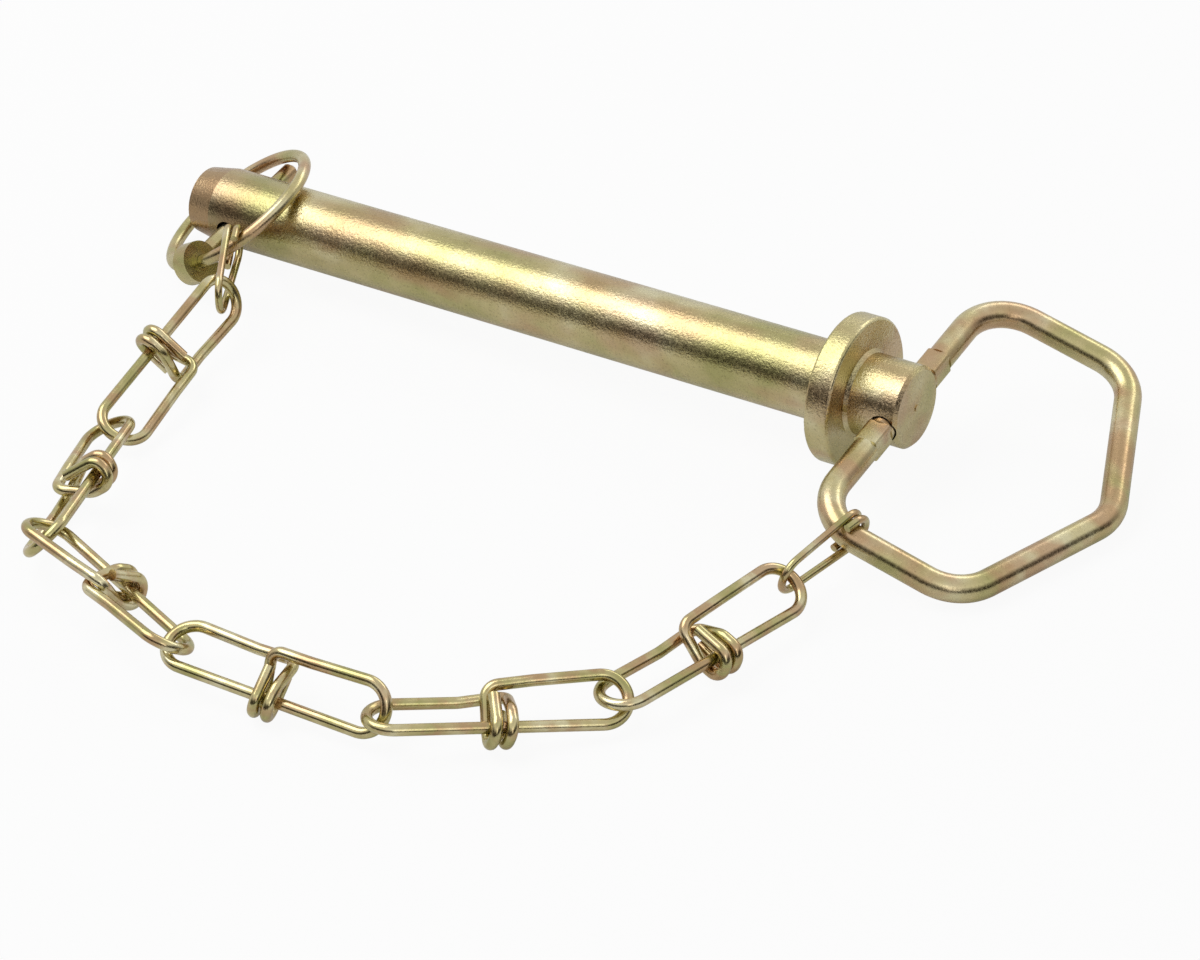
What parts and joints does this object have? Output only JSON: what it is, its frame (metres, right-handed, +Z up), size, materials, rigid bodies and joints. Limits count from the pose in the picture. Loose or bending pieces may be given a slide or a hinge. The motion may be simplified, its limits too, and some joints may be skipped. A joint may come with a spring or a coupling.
{
  "type": "hitch pin",
  "caption": "Zinc-plated lever hitch pin with a collar, a swinging wire handle, a linch pin with a spring ring and a knotted wire chain that joins them.",
  "frame": {"origin": "on the pin's axis where the shank meets the collar's underside", "axes": "+X runs level along the pin towards its handle, +Y is away from the chain, +Z is up; the pin's own axis rises 1.8 degrees towards +X because it lies on its collar"},
  "size_m": [0.2597, 0.1944, 0.0354],
  "materials": {
    "zinc_turned": "satin",
    "zinc_heavy_wire": "satin",
    "zinc_chain_wire": "satin"
  },
  "bodies": {
    "pin": {"pin": "zinc_turned"},
    "handle": {"handle": "zinc_heavy_wire"},
    "linch_pin": {"linch_pin": "zinc_heavy_wire"},
    "linch_ring": {"linch_ring": "zinc_heavy_wire"},
    "connector_a": {"connector_a": "zinc_chain_wire"},
    "link_1": {"link_1": "zinc_chain_wire"},
    "link_2": {"link_2": "zinc_chain_wire"},
    "link_3": {"link_3": "zinc_chain_wire"},
    "link_4": {"link_4": "zinc_chain_wire"},
    "link_5": {"link_5": "zinc_chain_wire"},
    "link_6": {"link_6": "zinc_chain_wire"},
    "connector_b": {"connector_b": "zinc_chain_wire"}
  },
  "joints": [
    {"name": "handle_swing", "type": "hinge", "parent": "pin", "child": "handle", "pos_m": [0.01579, 0, 0.0005], "axis": [0.0038, -0.9925, -0.1218], "range_deg": [-1, 80]},
    {"name": "connector_b_rock", "type": "hinge", "parent": "handle", "child": "connector_b", "pos_m": [0.0202, -0.05941, -0.00732], "axis": [0.1968, 0.9696, 0.1454], "range_deg": [-3, 3]},
    {"name": "link_6_turn", "type": "hinge", "parent": "handle", "child": "link_6", "pos_m": [0.00474, -0.11052, -0.00672], "axis": [0.2993, 0.9534, -0.0387], "range_deg": [-42, 1]},
    {"name": "link_5_turn", "type": "hinge", "parent": "pin", "child": "link_5", "pos_m": [-0.0334, -0.13809, -0.01486], "axis": [0.89, 0.4508, 0.0683], "range_deg": [-31, 1]},
    {"name": "linch_pull", "type": "slide", "parent": "pin", "child": "linch_pin", "axis": [0.0038, -0.9925, -0.1218], "range_m": [0, 0.0008]},
    {"name": "ring_swing", "type": "hinge", "parent": "linch_pin", "child": "linch_ring", "pos_m": [-0.16933, -0.02223, -0.00805], "axis": [0.8635, -0.0582, 0.501], "range_deg": [0, 42]},
    {"name": "connector_a_turn", "type": "hinge", "parent": "linch_ring", "child": "connector_a", "pos_m": [-0.161, -0.02038, -0.00492], "axis": [-0.7734, -0.3662, -0.5175], "range_deg": [-0.5, 32.5]},
    {"name": "link_1_turn", "type": "hinge", "parent": "pin", "child": "link_1", "pos_m": [-0.15025, -0.03234, -0.00198], "axis": [0.0553, -0.9812, -0.1847], "range_deg": [-0.5, 14.5]},
    {"name": "link_2_rock", "type": "hinge", "parent": "pin", "child": "link_2", "pos_m": [-0.14953, -0.08264, -0.01187], "axis": [0.4641, -0.8786, 0.1126], "range_deg": [-2, 8]},
    {"name": "link_3_rock", "type": "hinge", "parent": "pin", "child": "link_3", "pos_m": [-0.12759, -0.12418, -0.00655], "axis": [0.9087, -0.4129, -0.0611], "range_deg": [-6, 3]},
    {"name": "link_4_rock", "type": "hinge", "parent": "pin", "child": "link_4", "pos_m": [-0.08057, -0.14554, -0.00971], "axis": [-0.9962, -0.0809, 0.0332], "range_deg": [-3, 3]}
  ],
  "couplings": [
    {"joint": "link_6_turn", "follows": "handle_swing", "ratio": -0.5126},
    {"joint": "link_5_turn", "follows": "handle_swing", "ratio": -0.382},
    {"joint": "connector_a_turn", "follows": "ring_swing", "ratio": 0.7547},
    {"joint": "link_1_turn", "follows": "ring_swing", "ratio": 0.3285}
  ]
}
